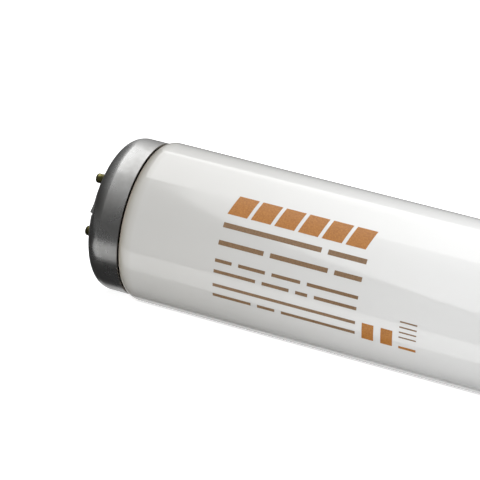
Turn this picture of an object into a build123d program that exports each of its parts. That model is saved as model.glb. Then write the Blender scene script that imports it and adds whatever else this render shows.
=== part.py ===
from build123d import *
import os

os.makedirs("parts", exist_ok=True)

# A straight fluorescent lamp of the 600 mm class with a bi-pin cap on each end.
# X runs along the lamp and Z is up. The origin is on the surface that the tube lies on,
# below its middle. The two pins of each cap stand one above the other.
# All sizes are in millimetres.

# Glass tube
tube_diameter = 38.0
shoulder_length = 2.65
rim_round = 1.2

# Stem sealed into each end of the tube: stem tube and exhaust tube. Its flare runs out to the rim.
stem_radius = 5.0
stem_length = 10.0
exhaust_radius = 2.0

# Drawn cap shell
face_to_face = 589.8
cap_inset = 0.75
cap_length = 8.7
cap_corner = 3.8
cap_wall = 0.35
cap_lip = 2.2
rim_gap = 0.15

# Stakes: metal of the shell's corner that is pressed in against the insulator's edge.
# A burr of raised metal runs up to one side of each.
stake_width = 0.7
stake_depth = 0.8
stake_reach = 2.6
lug_side = 0.3
lug_depth = 1.0
lug_play = 0.05
stake_turns = (90, 270)
burr_rise = 0.33
burr_length = 2.2
burr_reach = 1.6
burr_turn = 62

# Moulded insulator
insulator_thickness = 1.6
insulator_stand = 0.3
insulator_play = 0.2
boss_play = 0.1

# Hollow contact pins
pin_spacing = 12.7
pin_radius = 1.175
pin_length = 6.9
pin_tip_round = 0.6
pin_bore = 0.6
pin_tip_wall = 0.8
pin_hole_play = 0.03
collar_radius = 1.9
collar_thickness = 0.5
rivet_radius = 1.8
rivet_thickness = 0.5

# Capping cement and lead wires
cement_thickness = 0.7
cement_inset = 0.7
glass_setback = 4.2
exhaust_gap = 1.0
lead_radius = 0.25
lead_offset = 3.5
lead_bend_length = 6.0
lead_bend_radius = 1.5

# Places that follow from the sizes. S is the distance from a cap's front face into the lamp.
tube_radius = tube_diameter / 2
axis_height = tube_radius
cap_radius = tube_radius - cap_inset
cap_bore = cap_radius - cap_wall
neck_radius = cap_bore - cement_thickness
front_flat = cap_radius - cap_corner
insulator_radius = front_flat - insulator_play
opening_radius = insulator_radius - cap_lip
insulator_back = cap_wall + insulator_thickness
shoulder_s = cap_length + rim_gap
shoulder_end_s = shoulder_s + shoulder_length
flare_mouth = neck_radius - rim_round
flare_round = flare_mouth - stem_radius
stem_s = glass_setback + flare_round
press_s = stem_s + stem_length
exhaust_tip_s = insulator_back + exhaust_gap
rivet_s = insulator_back + rivet_thickness


def turned(profile):
    """A solid turned about the lamp's axis from the edges of half its section."""
    section = make_face([Plane.XZ * edge for edge in profile])
    return revolve(section, Axis.X)


def at_end(side, piece):
    """Place a piece modelled about a cap's face on the lamp. The right cap is the left one turned round."""
    if side == "left":
        return Pos(-face_to_face / 2, 0, axis_height) * piece
    return Pos(face_to_face / 2, 0, axis_height) * Rot(0, 0, 180) * piece


def end_section():
    """Outline of one end of the glass, from the exhaust tip round the rim to the full diameter."""
    shoulder_rise = tube_radius - neck_radius
    return [
        CenterArc((exhaust_tip_s + exhaust_radius, 0), exhaust_radius, 90, 90),
        Line((exhaust_tip_s + exhaust_radius, exhaust_radius), (press_s, exhaust_radius)),
        Line((press_s, exhaust_radius), (press_s, stem_radius)),
        Line((press_s, stem_radius), (stem_s, stem_radius)),
        CenterArc((stem_s, flare_mouth), flare_round, 180, 90),
        CenterArc((glass_setback + rim_round, flare_mouth), rim_round, 90, 90),
        Line((glass_setback + rim_round, neck_radius), (shoulder_s, neck_radius)),
        EllipticalCenterArc((shoulder_end_s, neck_radius), shoulder_length, shoulder_rise, 90, arc_size=90),
    ]


def glass_bulb():
    """The sealed tube as one turned solid, with the open stem recess at each end."""
    left = [Pos(-face_to_face / 2, 0) * edge for edge in end_section()]
    right = [edge.mirror(Plane.YZ) for edge in left]
    shoulder_x = face_to_face / 2 - shoulder_end_s
    tip_x = face_to_face / 2 - exhaust_tip_s
    wall = Line((-shoulder_x, tube_radius), (shoulder_x, tube_radius))
    axis = Line((-tip_x, 0), (tip_x, 0))
    return Pos(0, 0, axis_height) * turned(left + [wall] + right + [axis])


def cap_form(radius, corner, front, rim):
    """A solid cup form with a rounded front corner, from its front plane to its rim plane."""
    return turned([
        Line((front, 0), (front, radius - corner)),
        CenterArc((front + corner, radius - corner), corner, 90, 90),
        Line((front + corner, radius), (rim, radius)),
        Line((rim, radius), (rim, 0)),
        Line((rim, 0), (front, 0)),
    ])


def stake(turn, width, back, inner):
    """A radial block across the shell's front corner, at an angle from the upper pin."""
    reach = front_flat + stake_reach - inner
    block = Box(back, width, reach, align=(Align.MIN, Align.CENTER, Align.MIN))
    return Rot(turn, 0, 0) * Pos(0, 0, inner) * block


def stake_burr(turn):
    """A ridge on the shell's corner that rises to the edge of a stake."""
    root = cap_corner - cap_wall / 2
    near = stake_width / 2
    far = near + burr_length
    slope = Polyline((near, root), (near, cap_corner + burr_rise), (far, root), close=True)
    ridge = extrude(Plane.YZ * make_face(slope), amount=burr_reach / 2, both=True)
    return Rot(turn, 0, 0) * Pos(cap_corner, 0, front_flat) * Rot(0, -burr_turn, 0) * ridge


def cap_shell():
    """Aluminium cap drawn from sheet, open at the rim, with a round opening in its front."""
    outer = cap_form(cap_radius, cap_corner, 0, cap_length)
    hollow = cap_form(cap_bore, cap_corner - cap_wall, cap_wall, cap_length)
    for turn in stake_turns:
        lug_width = stake_width + 2 * lug_side
        hollow = hollow - stake(turn, lug_width, stake_depth + lug_depth, insulator_radius + lug_play)
    shell = outer - hollow
    for turn in stake_turns:
        shell = shell + stake_burr(turn) - stake(turn, stake_width, stake_depth, front_flat)
    opening = Cylinder(opening_radius, 4 * cap_wall, rotation=(0, 90, 0))
    return shell - opening


def insulator():
    """Moulded plate behind the shell's front, with a boss that fills the opening."""
    boss_length = insulator_stand + cap_wall
    along_axis = (Align.CENTER, Align.CENTER, Align.MIN)
    plate = Cylinder(insulator_radius, insulator_thickness, rotation=(0, 90, 0), align=along_axis)
    boss = Cylinder(opening_radius - boss_play, boss_length, rotation=(0, 90, 0), align=along_axis)
    body = Pos(cap_wall, 0, 0) * plate + Pos(-insulator_stand, 0, 0) * boss
    hole = Cylinder(pin_radius + pin_hole_play, 4 * insulator_thickness, rotation=(0, 90, 0))
    for height in (-pin_spacing / 2, pin_spacing / 2):
        body = body - Pos(0, 0, height) * hole
    return body


def contact_pin():
    """Hollow brass pin on its own axis: closed round tip, collar, shank and riveted back end."""
    tip = -pin_length
    collar_back = -insulator_stand
    collar_front = collar_back - collar_thickness
    bore_end = tip + pin_tip_wall
    return turned([
        Line((bore_end, 0), (tip, 0)),
        Line((tip, 0), (tip, pin_radius - pin_tip_round)),
        CenterArc((tip + pin_tip_round, pin_radius - pin_tip_round), pin_tip_round, 90, 90),
        Line((tip + pin_tip_round, pin_radius), (collar_front, pin_radius)),
        Line((collar_front, pin_radius), (collar_front, collar_radius)),
        Line((collar_front, collar_radius), (collar_back, collar_radius)),
        Line((collar_back, collar_radius), (collar_back, pin_radius)),
        Line((collar_back, pin_radius), (insulator_back, pin_radius)),
        Line((insulator_back, pin_radius), (insulator_back, rivet_radius)),
        Line((insulator_back, rivet_radius), (rivet_s, pin_radius)),
        Line((rivet_s, pin_radius), (rivet_s, pin_bore)),
        Line((rivet_s, pin_bore), (bore_end, pin_bore)),
        Line((bore_end, pin_bore), (bore_end, 0)),
    ])


def capping_cement():
    """Ring of baked cement between the glass neck and the inside of the shell."""
    length = cap_length - cement_inset - glass_setback - rim_round
    ring = Cylinder(cap_bore, length, rotation=(0, 90, 0)) - Cylinder(neck_radius, length, rotation=(0, 90, 0))
    return Pos(cap_length - cement_inset - length / 2, 0, 0) * ring


def lead_wire(height):
    """Wire from the stem's press, along the stem and out into a pin's bore."""
    press_height = lead_offset * (1 if height > 0 else -1)
    wire_end = pin_tip_wall - pin_length + lead_radius
    route = FilletPolyline(
        (press_s, 0, press_height),
        (glass_setback + lead_bend_length, 0, press_height),
        (glass_setback, 0, height),
        (wire_end, 0, height),
        radius=lead_bend_radius,
    )
    section = Plane(origin=(press_s, 0, press_height), z_dir=(-1, 0, 0)) * Circle(lead_radius)
    return sweep(section, path=route)


pieces = {"glass_bulb": glass_bulb()}
for side in ("left", "right"):
    pieces[side + "_cap_shell"] = at_end(side, cap_shell())
    pieces[side + "_insulator"] = at_end(side, insulator())
    pieces[side + "_capping_cement"] = at_end(side, capping_cement())
    for place, height in (("upper", pin_spacing / 2), ("lower", -pin_spacing / 2)):
        pieces[side + "_" + place + "_pin"] = at_end(side, Pos(0, 0, height) * contact_pin())
        pieces[side + "_" + place + "_lead_wire"] = at_end(side, lead_wire(height))

for name, piece in pieces.items():
    export_step(piece, "parts/" + name + ".step")
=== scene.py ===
import math

import bmesh
import bpy
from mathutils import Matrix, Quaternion, Vector


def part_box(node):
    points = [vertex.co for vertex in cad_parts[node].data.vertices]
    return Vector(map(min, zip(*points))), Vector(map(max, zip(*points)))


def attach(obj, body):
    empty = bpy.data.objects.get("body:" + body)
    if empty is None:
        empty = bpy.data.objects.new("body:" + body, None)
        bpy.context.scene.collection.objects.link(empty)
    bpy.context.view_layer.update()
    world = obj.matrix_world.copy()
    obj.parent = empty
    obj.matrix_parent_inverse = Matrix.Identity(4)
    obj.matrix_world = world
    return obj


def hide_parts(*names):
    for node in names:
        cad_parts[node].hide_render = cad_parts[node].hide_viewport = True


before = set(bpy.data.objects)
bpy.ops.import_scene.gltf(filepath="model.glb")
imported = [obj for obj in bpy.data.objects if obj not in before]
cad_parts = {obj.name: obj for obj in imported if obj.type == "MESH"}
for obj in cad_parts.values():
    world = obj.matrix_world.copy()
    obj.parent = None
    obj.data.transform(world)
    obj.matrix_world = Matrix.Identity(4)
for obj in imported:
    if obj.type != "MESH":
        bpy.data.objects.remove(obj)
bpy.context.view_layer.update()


# Glass tube: drawn soda-lime glass, necked in at both ends, with a stem fused into each rim.
# The inside is coated with white powder, and the glass is browned at the very edge of each cap, where its
# colour is also painted pale, as painted light against the shade at the cap's rim.
# The powder's colour is painted greyer towards the ends, as painted shade where less light gets in.
tube_low, tube_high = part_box("glass_bulb")
shell_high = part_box("left_cap_shell")[1]
tube_radius = (tube_high.z - tube_low.z) / 2
axis_height = (tube_high.z + tube_low.z) / 2
exhaust_tip = tube_high.x
cap_length = 0.0087
cap_rim = -shell_high.x
cap_face = cap_rim + cap_length
ink_film = 0.00002
glass_radius = tube_radius - ink_film
shoulder_gap = 0.00015
shoulder_length = 0.00265
neck_radius = 0.0172
rim_round = 0.0012
glass_setback = 0.0042
stem_radius = 0.005
stem_length = 0.010
exhaust_radius = 0.002
tube_steps = 192
arc_steps = 12
weld_distance = 0.000002
corner_angle = 40


def place_point(bm, pen, x, radius):
    """Draw a straight line of the half section to a point, and return the point."""
    made = bmesh.ops.extrude_vert_indiv(bm, verts=[pen])
    made["verts"][0].co = Vector((x, 0, radius))
    return made["verts"][0]


def place_arc(bm, pen, centre_x, centre_radius, turn, stretch=1.0):
    """Draw an arc of the half section about a centre, stretched along the lamp from the point where
    it starts, and return its last point."""
    start_x = pen.co.x
    drawn = set(bm.verts)
    centre = (centre_x, 0, centre_radius)
    angle = math.radians(turn)
    made = bmesh.ops.spin(bm, geom=[pen], cent=centre, axis=(0, 1, 0), angle=angle, steps=arc_steps)
    for point in set(bm.verts) - drawn:
        point.co.x = start_x + (point.co.x - start_x) * stretch
    return [part for part in made["geom_last"] if isinstance(part, bmesh.types.BMVert)][0]


def turn_section(bm, steps):
    """Turn a drawn half section once round the lamp's axis and close its seam and poles."""
    section = bm.verts[:] + bm.edges[:]
    bmesh.ops.spin(
        bm, geom=section, cent=(0, 0, 0), axis=(1, 0, 0), angle=math.tau, steps=steps, use_merge=True
    )
    bmesh.ops.remove_doubles(bm, verts=bm.verts[:], dist=weld_distance)
    bmesh.ops.recalc_face_normals(bm, faces=bm.faces[:])


def put_in_scene(bm, name, material):
    """Make a drawn piece an object of the lamp, with smooth faces between its sharp corners."""
    bmesh.ops.translate(bm, verts=bm.verts[:], vec=(0, 0, axis_height))
    mesh = bpy.data.meshes.new(name)
    bm.to_mesh(mesh)
    bm.free()
    mesh.materials.append(material)
    mesh.shade_smooth()
    mesh.set_sharp_from_angle(angle=math.radians(corner_angle))
    piece = bpy.data.objects.new(name, mesh)
    bpy.context.scene.collection.objects.link(piece)
    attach(piece, "root")
    return piece


def add_node(tree, kind, sockets=None, **settings):
    """Add one shader node. A socket gets a value, or a link where it is given another socket."""
    made = tree.nodes.new("ShaderNode" + kind)
    for name, value in settings.items():
        setattr(made, name, value)
    for name, value in (sockets or {}).items():
        if isinstance(value, bpy.types.NodeSocket):
            tree.links.new(value, made.inputs[name])
        else:
            made.inputs[name].default_value = value
    return made


def add_ramp(tree, factor, stops):
    """Add a colour ramp with (place, colour) stops, in order."""
    ramp = add_node(tree, "ValToRGB", {"Fac": factor})
    elements = ramp.color_ramp.elements
    for place, _ in stops[2:]:
        elements.new(place)
    for element, (place, colour) in zip(elements, stops):
        element.position = place
        element.color = (*colour, 1)
    return ramp.outputs["Color"]


def add_waver(tree, place, scale, reach):
    """Add a noise that moves a boundary to and fro by up to a reach."""
    noise = add_node(tree, "TexNoise", {"Vector": place, "Scale": scale, "Detail": 2.0}).outputs["Fac"]
    return add_node(tree, "MapRange", {"Value": noise, "To Min": -reach, "To Max": reach}).outputs[0]


def start_material(name, **sockets):
    """Start a material and return it with its node tree and its surface shader."""
    material = bpy.data.materials.new(name)
    material.use_nodes = True
    tree = material.node_tree
    surface = tree.nodes["Principled BSDF"]
    for socket, value in sockets.items():
        surface.inputs[socket.replace("_", " ")].default_value = value
    return material, tree, surface


# Both faces of the thin glass mirror, so its gloss is about twice that of one face.
coated_glass, tree, surface = start_material("coated_glass", Roughness=0.07, IOR=1.9)
place = add_node(tree, "TexCoord").outputs["Object"]
along = add_node(tree, "SeparateXYZ", {"Vector": place}).outputs["X"]
along = add_node(tree, "Math", {0: along}, operation="ABSOLUTE").outputs[0]
from_cap = add_node(tree, "Math", {0: cap_rim, 1: along}, operation="SUBTRACT").outputs[0]

edge_width = 0.004
edge_waver = add_waver(tree, place, scale=500.0, reach=0.0001)
edge_place = add_node(tree, "Math", {0: from_cap, 1: edge_waver}, operation="ADD").outputs[0]
near_cap = add_node(tree, "MapRange", {"Value": edge_place, "From Max": edge_width}).outputs[0]
# Bare glass browned by the cement, painted pale right at the rim as painted light against the shade there,
# then the greyer powder as painted shade.
edge_colour = add_ramp(tree, near_cap, [
    (0.00, (0.560, 0.480, 0.390)),
    (0.10, (0.500, 0.440, 0.365)),
    (0.20, (0.455, 0.415, 0.355)),
    (0.30, (0.440, 0.415, 0.365)),
    (0.40, (0.460, 0.442, 0.400)),
    (0.60, (0.530, 0.520, 0.490)),
    (1.00, (0.600, 0.595, 0.575)),
])

# Painted shade: over this length from each cap the powder's colour grows from the greyer end colour to its
# full white.
lit_length = 0.085
lit_colour = (0.750, 0.752, 0.745, 1)
lit_waver = add_waver(tree, place, scale=30.0, reach=0.006)
lit_place = add_node(tree, "Math", {0: from_cap, 1: lit_waver}, operation="ADD").outputs[0]
into_tube = add_node(tree, "MapRange", {"Value": lit_place, "From Min": edge_width, "From Max": lit_length})
into_tube.interpolation_type = "SMOOTHSTEP"
powder_and_painted_shade = add_node(tree, "Mix", {"Factor": into_tube.outputs[0]}, data_type="RGBA")
tree.links.new(edge_colour, powder_and_painted_shade.inputs["A"])
powder_and_painted_shade.inputs["B"].default_value = lit_colour
tree.links.new(powder_and_painted_shade.outputs["Result"], surface.inputs["Base Color"])

draw_stretch = (0.1, 1, 1)
drawn_out = add_node(tree, "VectorMath", {0: place, 1: draw_stretch}, operation="MULTIPLY").outputs[0]
draw_lines = add_node(tree, "TexNoise", {"Vector": drawn_out, "Scale": 150.0, "Detail": 1.0}).outputs["Fac"]
relief = add_node(tree, "Bump", {"Height": draw_lines, "Strength": 0.3, "Distance": 0.0001})
tree.links.new(relief.outputs[0], surface.inputs["Normal"])

bm = bmesh.new()
flare_mouth = neck_radius - rim_round
flare_foot = -cap_face + glass_setback + flare_mouth - stem_radius
press = flare_foot + stem_length
shoulder = -cap_rim + shoulder_gap
shoulder_rise = glass_radius - neck_radius
shoulder_stretch = shoulder_length / shoulder_rise
pen = bmesh.ops.create_vert(bm, co=(-exhaust_tip, 0, 0))["vert"][0]
pen = place_arc(bm, pen, -exhaust_tip + exhaust_radius, 0, 90)
pen = place_point(bm, pen, press, exhaust_radius)
pen = place_point(bm, pen, press, stem_radius)
pen = place_point(bm, pen, flare_foot, stem_radius)
pen = place_arc(bm, pen, flare_foot, flare_mouth, -90)
pen = place_arc(bm, pen, -cap_face + glass_setback + rim_round, flare_mouth, 90)
pen = place_point(bm, pen, shoulder, neck_radius)
pen = place_arc(bm, pen, shoulder + shoulder_rise, neck_radius, 90, stretch=shoulder_stretch)
pen = place_point(bm, pen, 0, glass_radius)
bmesh.ops.mirror(bm, geom=bm.verts[:] + bm.edges[:], axis="X", merge_dist=weld_distance)
turn_section(bm, tube_steps)
glass_tube = put_in_scene(bm, "glass_tube", coated_glass)
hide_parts("glass_bulb")


# Print on the glass: plain fields of copper and brown ink, fired on near the left cap. A broad band of
# leaning blocks stands over six rows of thin bars, with two plain blocks and a stack of lines beside them.
print_left = 0.0246
print_right = 0.0594
band_arc = 0.0084
band_height = 0.0050
band_blocks = 6
band_gap = 0.0009
band_lean = 0.0012
row_middles = (0.00575, 0.00165, -0.0025, -0.0051, -0.0086, -0.01135)
row_heights = (0.0012, 0.0011, 0.0008, 0.0008, 0.0008, 0.0008)
row_bars = (
    (0.62, 0.24),
    (0.30, 0.38, 0.18),
    (0.10, 0.16, 0.17, 0.30),
    (0.28, 0.18, 0.08, 0.28),
    (0.86,),
    (0.22, 0.10, 0.42),
)
bar_gap = 0.0016
block_lefts = (0.0610, 0.0655)
block_arc = -0.0124
block_width = 0.0028
block_height = 0.0043
stack_left = 0.0698
stack_width = 0.0041
stack_arcs = (-0.0055, -0.0068, -0.0081, -0.0094)
stack_height = 0.00035
base_arc = -0.01245
base_height = 0.0007
ink_step = 0.0004


def lay_field(bm, left, width, arc, height, lean=0.0):
    """Lay a thin field of ink on the glass. Left is measured from the cap's rim, and arc round the tube
    from its front line up to the field's lower edge."""
    steps = max(2, round(height / ink_step))
    start = bmesh.ops.create_vert(bm, co=(left - cap_rim, -glass_radius, 0))["vert"]
    edge = bmesh.ops.extrude_vert_indiv(bm, verts=start)
    bmesh.ops.translate(bm, verts=edge["verts"], vec=(width, 0, 0))
    line = start + edge["verts"] + edge["edges"]
    turn = -height / glass_radius
    slant = (lean / steps, 0, 0)
    bmesh.ops.spin(bm, geom=line, cent=(0, 0, 0), axis=(1, 0, 0), angle=turn, steps=steps, dvec=slant)
    field = list({vert for face in bm.faces for vert in face.verts if not face.tag})
    lift = Quaternion((1, 0, 0), -arc / glass_radius).to_matrix()
    bmesh.ops.rotate(bm, verts=field, cent=(0, 0, 0), matrix=lift)
    for face in bm.faces:
        face.tag = True


def fire_print(bm, name, material):
    """Turn the ink to face the glass, let its thickness grow outwards and put it on the glass."""
    bmesh.ops.recalc_face_normals(bm, faces=bm.faces[:])
    for face in bm.faces:
        middle = face.calc_center_median()
        if face.normal.dot(Vector((0, middle.y, middle.z))) > 0:
            face.normal_flip()
    bmesh.ops.solidify(bm, geom=bm.faces[:], thickness=ink_film)
    put_in_scene(bm, name, material)


def start_group(name, inputs, outputs):
    """Start a node group with (name, kind, default) inputs and (name, kind) outputs."""
    group = bpy.data.node_groups.new(name, "ShaderNodeTree")
    for socket, kind, default in inputs:
        made = group.interface.new_socket(socket, in_out="INPUT", socket_type="NodeSocket" + kind)
        made.default_value = default
    for socket, kind in outputs:
        group.interface.new_socket(socket, in_out="OUTPUT", socket_type="NodeSocket" + kind)
    return group, group.nodes.new("NodeGroupInput").outputs, group.nodes.new("NodeGroupOutput").inputs


stained, given, result = start_group("stained", [
    ("Clean", "Color", (0.8, 0.8, 0.8, 1)),
    ("Stain", "Color", (0.4, 0.4, 0.4, 1)),
    ("Scale", "Float", 100.0),
    ("Detail", "Float", 3.0),
    ("Contrast", "Float", 3.0),
    ("Cover", "Float", 0.5),
], [("Color", "Color"), ("Amount", "Float")])
place = add_node(stained, "TexCoord").outputs["Object"]
cloud = add_node(stained, "TexNoise", {"Vector": place, "Scale": given["Scale"], "Detail": given["Detail"]})
cloud = add_node(stained, "Math", {0: cloud.outputs["Fac"], 1: 0.5}, operation="SUBTRACT").outputs[0]
cloud = add_node(stained, "Math", {0: cloud, 1: given["Contrast"]}, operation="MULTIPLY").outputs[0]
cloud = add_node(stained, "Math", {0: cloud, 1: given["Cover"]}, operation="ADD", use_clamp=True).outputs[0]
blend = add_node(stained, "Mix", {"Factor": cloud}, data_type="RGBA")
stained.links.new(given["Clean"], blend.inputs["A"])
stained.links.new(given["Stain"], blend.inputs["B"])
stained.links.new(blend.outputs["Result"], result["Color"])
stained.links.new(cloud, result["Amount"])


def stain_surface(tree, surface, clean, stain, **sockets):
    """Give a surface its clean colour with clouds of a stain, and return how stained each place is."""
    node = tree.nodes.new("ShaderNodeGroup")
    node.node_tree = stained
    node.inputs["Clean"].default_value = (*clean, 1)
    node.inputs["Stain"].default_value = (*stain, 1)
    for socket, value in sockets.items():
        node.inputs[socket].default_value = value
    tree.links.new(node.outputs["Color"], surface.inputs["Base Color"])
    return node.outputs["Amount"]


copper_ink, tree, surface = start_material("copper_ink", Roughness=0.32)
stain_surface(tree, surface, (0.46, 0.19, 0.034), (0.35, 0.13, 0.022), Scale=2600.0, Contrast=2.5)
brown_ink, tree, surface = start_material("brown_ink", Roughness=0.32)
stain_surface(tree, surface, (0.26, 0.158, 0.082), (0.19, 0.112, 0.058), Scale=2600.0, Contrast=2.5)

bm = bmesh.new()
band_width = (print_right - print_left - band_lean - band_gap * (band_blocks - 1)) / band_blocks
for block in range(band_blocks):
    left = print_left + block * (band_width + band_gap)
    lay_field(bm, left, band_width, band_arc, band_height, lean=band_lean)
for left in block_lefts:
    lay_field(bm, left, block_width, block_arc, block_height)
lay_field(bm, stack_left, stack_width, base_arc, base_height)
fire_print(bm, "copper_print", copper_ink)

bm = bmesh.new()
for middle, height, bars in zip(row_middles, row_heights, row_bars):
    left = print_left
    length = print_right - print_left - bar_gap * (len(bars) - 1)
    for share in bars:
        width = length * share / sum(bars)
        lay_field(bm, left, width, middle - height / 2, height)
        left += width + bar_gap
for arc in stack_arcs:
    lay_field(bm, stack_left, stack_width, arc, stack_height)
fire_print(bm, "brown_print", brown_ink)


# Cap shells: aluminium drawn from sheet, with a rounded front corner, crimped over the insulator by
# two stakes. The metal is satin, with fine rings from the draw, darkened by handling and by heat.
cap_aluminium, tree, surface = start_material("cap_aluminium", Metallic=1.0)
grime = stain_surface(
    tree, surface, (0.455, 0.455, 0.45), (0.32, 0.316, 0.308), Scale=180.0, Detail=6.0, Cover=0.35
)
dulling = add_node(tree, "MapRange", {"Value": grime, "To Min": 0.25, "To Max": 0.36}).outputs[0]
tree.links.new(dulling, surface.inputs["Roughness"])
place = add_node(tree, "TexCoord").outputs["Object"]
from_axis = add_node(tree, "VectorMath", {0: place, 1: (0, 0, axis_height)}, operation="SUBTRACT").outputs[0]
split = add_node(tree, "SeparateXYZ", {"Vector": from_axis}).outputs
across = add_node(tree, "CombineXYZ", {"Y": split["Y"], "Z": split["Z"]}).outputs[0]
radius = add_node(tree, "VectorMath", {0: across}, operation="LENGTH").outputs["Value"]
ring_place = add_node(tree, "CombineXYZ", {"X": split["X"], "Y": radius}).outputs[0]
draw_rings = add_node(tree, "TexNoise", {"Vector": ring_place, "Scale": 3000.0, "Detail": 3.0}).outputs["Fac"]
relief = add_node(tree, "Bump", {"Height": draw_rings, "Strength": 0.25, "Distance": 0.00001})
tree.links.new(relief.outputs[0], surface.inputs["Normal"])
for side in ("left", "right"):
    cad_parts[side + "_cap_shell"].material_slots[0].material = cap_aluminium


# Insulators: plates moulded in dark phenolic resin, clamped behind the front of each shell.
# Their bosses fill the shells' openings and carry the pins.
insulator_resin, tree, surface = start_material("insulator_resin", Roughness=0.45)
grain = stain_surface(tree, surface, (0.050, 0.042, 0.035), (0.030, 0.026, 0.022), Scale=900.0, Detail=4.0)
relief = add_node(tree, "Bump", {"Height": grain, "Strength": 0.3, "Distance": 0.00003})
tree.links.new(relief.outputs[0], surface.inputs["Normal"])
for side in ("left", "right"):
    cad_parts[side + "_insulator"].material_slots[0].material = insulator_resin


# Contact pins: hollow brass, drawn, riveted through the insulator and darkened by an olive tarnish.
# The tarnish is thin in places, where a lamp holder's contacts have rubbed it.
pin_brass, tree, surface = start_material("pin_brass", Metallic=1.0)
tarnish = stain_surface(
    tree, surface, (0.25, 0.23, 0.09), (0.06, 0.056, 0.022), Scale=700.0, Detail=4.0, Contrast=4.0, Cover=0.72
)
dulling = add_node(tree, "MapRange", {"Value": tarnish, "To Min": 0.18, "To Max": 0.32}).outputs[0]
tree.links.new(dulling, surface.inputs["Roughness"])
for side in ("left", "right"):
    for level in ("upper", "lower"):
        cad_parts[side + "_" + level + "_pin"].material_slots[0].material = pin_brass


# Capping cement: a ring of resin and marble flour between the glass neck and each shell, baked hard.
# It is brown from the heat and grainy.
baked_cement, tree, surface = start_material("baked_cement", Roughness=0.85)
grain = stain_surface(tree, surface, (0.42, 0.33, 0.22), (0.24, 0.17, 0.10), Scale=1200.0, Detail=5.0)
relief = add_node(tree, "Bump", {"Height": grain, "Strength": 0.6, "Distance": 0.00008})
tree.links.new(relief.outputs[0], surface.inputs["Normal"])
for side in ("left", "right"):
    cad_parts[side + "_capping_cement"].material_slots[0].material = baked_cement


# Lead wires: drawn wire with a coppery skin, from the press of each stem into the hollow pins.
# Each one ends inside the tip of its pin.
lead_metal, tree, surface = start_material("lead_metal", Metallic=1.0, Roughness=0.35)
stain_surface(tree, surface, (0.55, 0.40, 0.30), (0.30, 0.22, 0.17), Scale=1500.0)
for side in ("left", "right"):
    for level in ("upper", "lower"):
        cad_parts[side + "_" + level + "_lead_wire"].material_slots[0].material = lead_metal


# Floor: a pale sheet that the lamp lies on.
# The camera sees it lifted to white, with the shadow kept.
floor_reach = 15.0
floor_lift = 0.8
floor_paint, tree, surface = start_material("floor_paint", Roughness=0.9)
surface.inputs["Base Color"].default_value = (0.88, 0.88, 0.88, 1)
surface.inputs["Emission Color"].default_value = (1, 1, 1, 1)
camera_ray = add_node(tree, "LightPath").outputs["Is Camera Ray"]
lift = add_node(tree, "Math", {0: camera_ray, 1: floor_lift}, operation="MULTIPLY").outputs[0]
tree.links.new(lift, surface.inputs["Emission Strength"])


def stand_sheet(name, corner, width, height, material):
    """Stand or lay one flat sheet of the studio: a corner and the two edges that leave it."""
    bm = bmesh.new()
    start = bmesh.ops.create_vert(bm, co=corner)["vert"]
    edge = bmesh.ops.extrude_vert_indiv(bm, verts=start)
    bmesh.ops.translate(bm, verts=edge["verts"], vec=width)
    drawn = bmesh.ops.extrude_edge_only(bm, edges=edge["edges"])["geom"]
    far_edge = [part for part in drawn if isinstance(part, bmesh.types.BMVert)]
    bmesh.ops.translate(bm, verts=far_edge, vec=height)
    mesh = bpy.data.meshes.new(name)
    bm.to_mesh(mesh)
    bm.free()
    mesh.materials.append(material)
    sheet = bpy.data.objects.new(name, mesh)
    bpy.context.scene.collection.objects.link(sheet)
    return sheet


floor_side = 2 * floor_reach
stand_sheet("floor", (-floor_reach, -floor_reach, 0), (floor_side, 0, 0), (0, floor_side, 0), floor_paint)


# Dark cloths: hung round the set and laid on the floor, so that the metal caps have dark reflections
# beside the bright ones. Only reflections show them. A strip of pale floor is left free on each side
# of the lamp, about as long as the lamp is. The cloth between the strips, right under the lamp, is a
# painted shadow: it stands in for the shade that the lamp casts on the floor beneath it.
cloth_distance = 1.5
wall_height = 4.0
back_height = 2.2
strip_near = 0.0186
strip_far = 0.031
strip_end = 0.309
cloth_lift = 0.0002


def weave_cloth(name, height, low_tone, high_tone, rise=1.0):
    """Make a dark cloth whose glow is painted light, brighter towards its top as if lit from above. A rise
    above 1 keeps its lower part dark.
    """
    cloth = bpy.data.materials.new(name)
    cloth.use_nodes = True
    tree = cloth.node_tree
    tree.nodes.remove(tree.nodes["Principled BSDF"])
    place = add_node(tree, "TexCoord").outputs["Object"]
    level = add_node(tree, "SeparateXYZ", {"Vector": place}).outputs["Z"]
    share = add_node(tree, "MapRange", {"Value": level, "From Max": height}).outputs[0]
    share = add_node(tree, "Math", {0: share, 1: rise}, operation="POWER").outputs[0]
    tone = add_node(tree, "MapRange", {"Value": share, "To Min": low_tone, "To Max": high_tone}).outputs[0]
    glow = add_node(tree, "Emission", {"Strength": tone})
    tree.links.new(glow.outputs[0], tree.nodes["Material Output"].inputs["Surface"])
    return cloth


def hang_cloth(name, corner, width, height, material):
    """Hang a cloth that only reflections show."""
    cloth = stand_sheet(name, corner, width, height, material)
    cloth.visible_camera = False
    cloth.visible_diffuse = False
    cloth.visible_shadow = False


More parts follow.
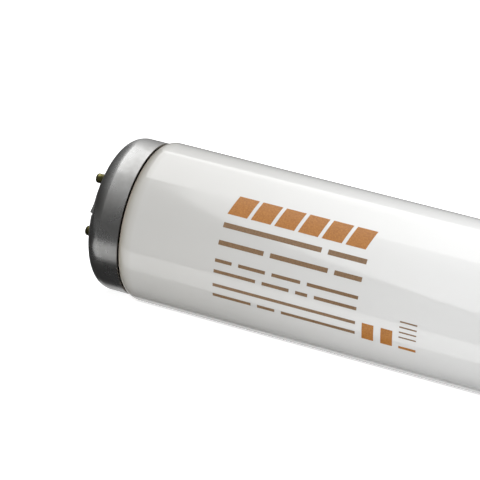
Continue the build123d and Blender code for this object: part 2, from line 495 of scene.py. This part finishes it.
side_cloth = weave_cloth("side_cloth", wall_height, low_tone=0.04, high_tone=0.90)
front_cloth = weave_cloth("front_cloth", wall_height, low_tone=0.08, high_tone=0.95, rise=2.0)
back_cloth = weave_cloth("back_cloth", back_height, low_tone=0.05, high_tone=1.6)
floor_cloth = weave_cloth("floor_cloth", wall_height, low_tone=0.15, high_tone=0.15)
strip_cloth = weave_cloth("strip_cloth", wall_height, low_tone=0.06, high_tone=0.06)
span = 2 * cloth_distance
front_left = (-cloth_distance, -cloth_distance, 0)
back_left = (-cloth_distance, cloth_distance, 0)
hang_cloth("front_wall_cloth", front_left, (span, 0, 0), (0, 0, wall_height), front_cloth)
hang_cloth("back_wall_cloth", back_left, (span, 0, 0), (0, 0, back_height), back_cloth)
for side, sign in (("front", -1), ("back", 1)):
    corner = (-cloth_distance, sign * strip_far, cloth_lift)
    depth = sign * (cloth_distance - strip_far)
    hang_cloth(side + "_floor_cloth", corner, (span, 0, 0), (0, depth, 0), floor_cloth)
# Painted shadow: a dark cloth right under the lamp, as wide as the lamp, where the floor lies in its shade.
corner = (-cloth_distance, -strip_near, cloth_lift)
hang_cloth("under_lamp_shadow_cloth", corner, (span, 0, 0), (0, 2 * strip_near, 0), strip_cloth)
for side, sign in (("left", -1), ("right", 1)):
    corner = (sign * cloth_distance, -cloth_distance, 0)
    hang_cloth(side + "_wall_cloth", corner, (0, span, 0), (0, 0, wall_height), side_cloth)
    corner = (sign * strip_end, -strip_far, 2 * cloth_lift)
    length = sign * (cloth_distance - strip_end)
    hang_cloth(side + "_strip_cloth", corner, (length, 0, 0), (0, 2 * strip_far, 0), strip_cloth)


# Studio light: a white surround that the camera, metal and glass see at full white, and four soft
# lamps. Two of them light the underside: a broad one in the table, which the metal and glass don't
# mirror, and a narrow slot right under the lamp, which they do.
ambient = 0.20
world = bpy.data.worlds.new("studio")
bpy.context.scene.world = world
world.use_nodes = True
tree = world.node_tree
background = tree.nodes["Background"]
background.inputs["Color"].default_value = (1, 1, 1, 1)
ray = add_node(tree, "LightPath").outputs
seen = add_node(tree, "Math", {0: ray["Is Camera Ray"], 1: ray["Is Glossy Ray"]}, operation="ADD").outputs[0]
through = ray["Is Transmission Ray"]
seen = add_node(tree, "Math", {0: seen, 1: through}, operation="ADD", use_clamp=True).outputs[0]
strength = add_node(tree, "MapRange", {"Value": seen, "To Min": ambient, "To Max": 1.0}).outputs[0]
tree.links.new(strength, background.inputs["Strength"])


def hang_lamp(name, place, aim, width, depth, brightness, lean=0.0):
    """Hang a soft lamp and point it. Brightness is what its face shows in a reflection, and lean is
    the turn of its top to the left, in degrees."""
    light = bpy.data.lights.new(name, "AREA")
    light.shape = "RECTANGLE"
    light.size = width
    light.size_y = depth
    light.energy = brightness * math.pi * width * depth
    lamp = bpy.data.objects.new(name, light)
    lamp.location = place
    lamp.rotation_mode = "QUATERNION"
    upright = (Vector(aim) - Vector(place)).to_track_quat("-Z", "Y")
    lamp.rotation_quaternion = upright @ Quaternion((0, 0, 1), math.radians(lean))
    lamp.visible_camera = False
    bpy.context.scene.collection.objects.link(lamp)
    return lamp


top_place = (0.0, 0.12, 0.85)
top_aim = (0.0, 0.12, 0.0)
front_place = (0.015, -0.561, 0.401)
front_aim = (0.015, -0.044, -0.033)
table_place = (0.0, 0.0, 0.0006)
slot_place = (0.0, 0.0, 0.0005)
overhead = (0.0, 0.0, 1.0)
hang_lamp("top_lamp", top_place, top_aim, width=1.44, depth=0.98, brightness=1.5)
hang_lamp("front_lamp", front_place, front_aim, width=1.09, depth=0.935, brightness=1.16, lean=7.7)
table_lamp = hang_lamp("table_lamp", table_place, overhead, width=1.4, depth=0.3, brightness=0.20)
table_lamp.visible_glossy = False
hang_lamp("slot_lamp", slot_place, overhead, width=0.59, depth=0.0126, brightness=0.58)


# Camera: the photograph's, low and to the right of the cap, looking back at it.
# It is turned about its own axis, so the lamp runs down to the right.
camera_place = Vector((-0.044775, -0.607351, 0.105603))
camera_aim = Vector((-0.26352, 0.0, 0.01964))
camera_tilt = 12.03
camera_lens = 211.15
camera_data = bpy.data.cameras.new("camera")
camera_data.lens = camera_lens
camera = bpy.data.objects.new("camera", camera_data)
camera.location = camera_place
camera.rotation_mode = "QUATERNION"
upright = (camera_aim - camera_place).to_track_quat("-Z", "Y")
camera.rotation_quaternion = upright @ Quaternion((0, 0, 1), math.radians(camera_tilt))
bpy.context.scene.collection.objects.link(camera)
bpy.context.scene.camera = camera
bpy.context.scene.view_settings.view_transform = "Standard"
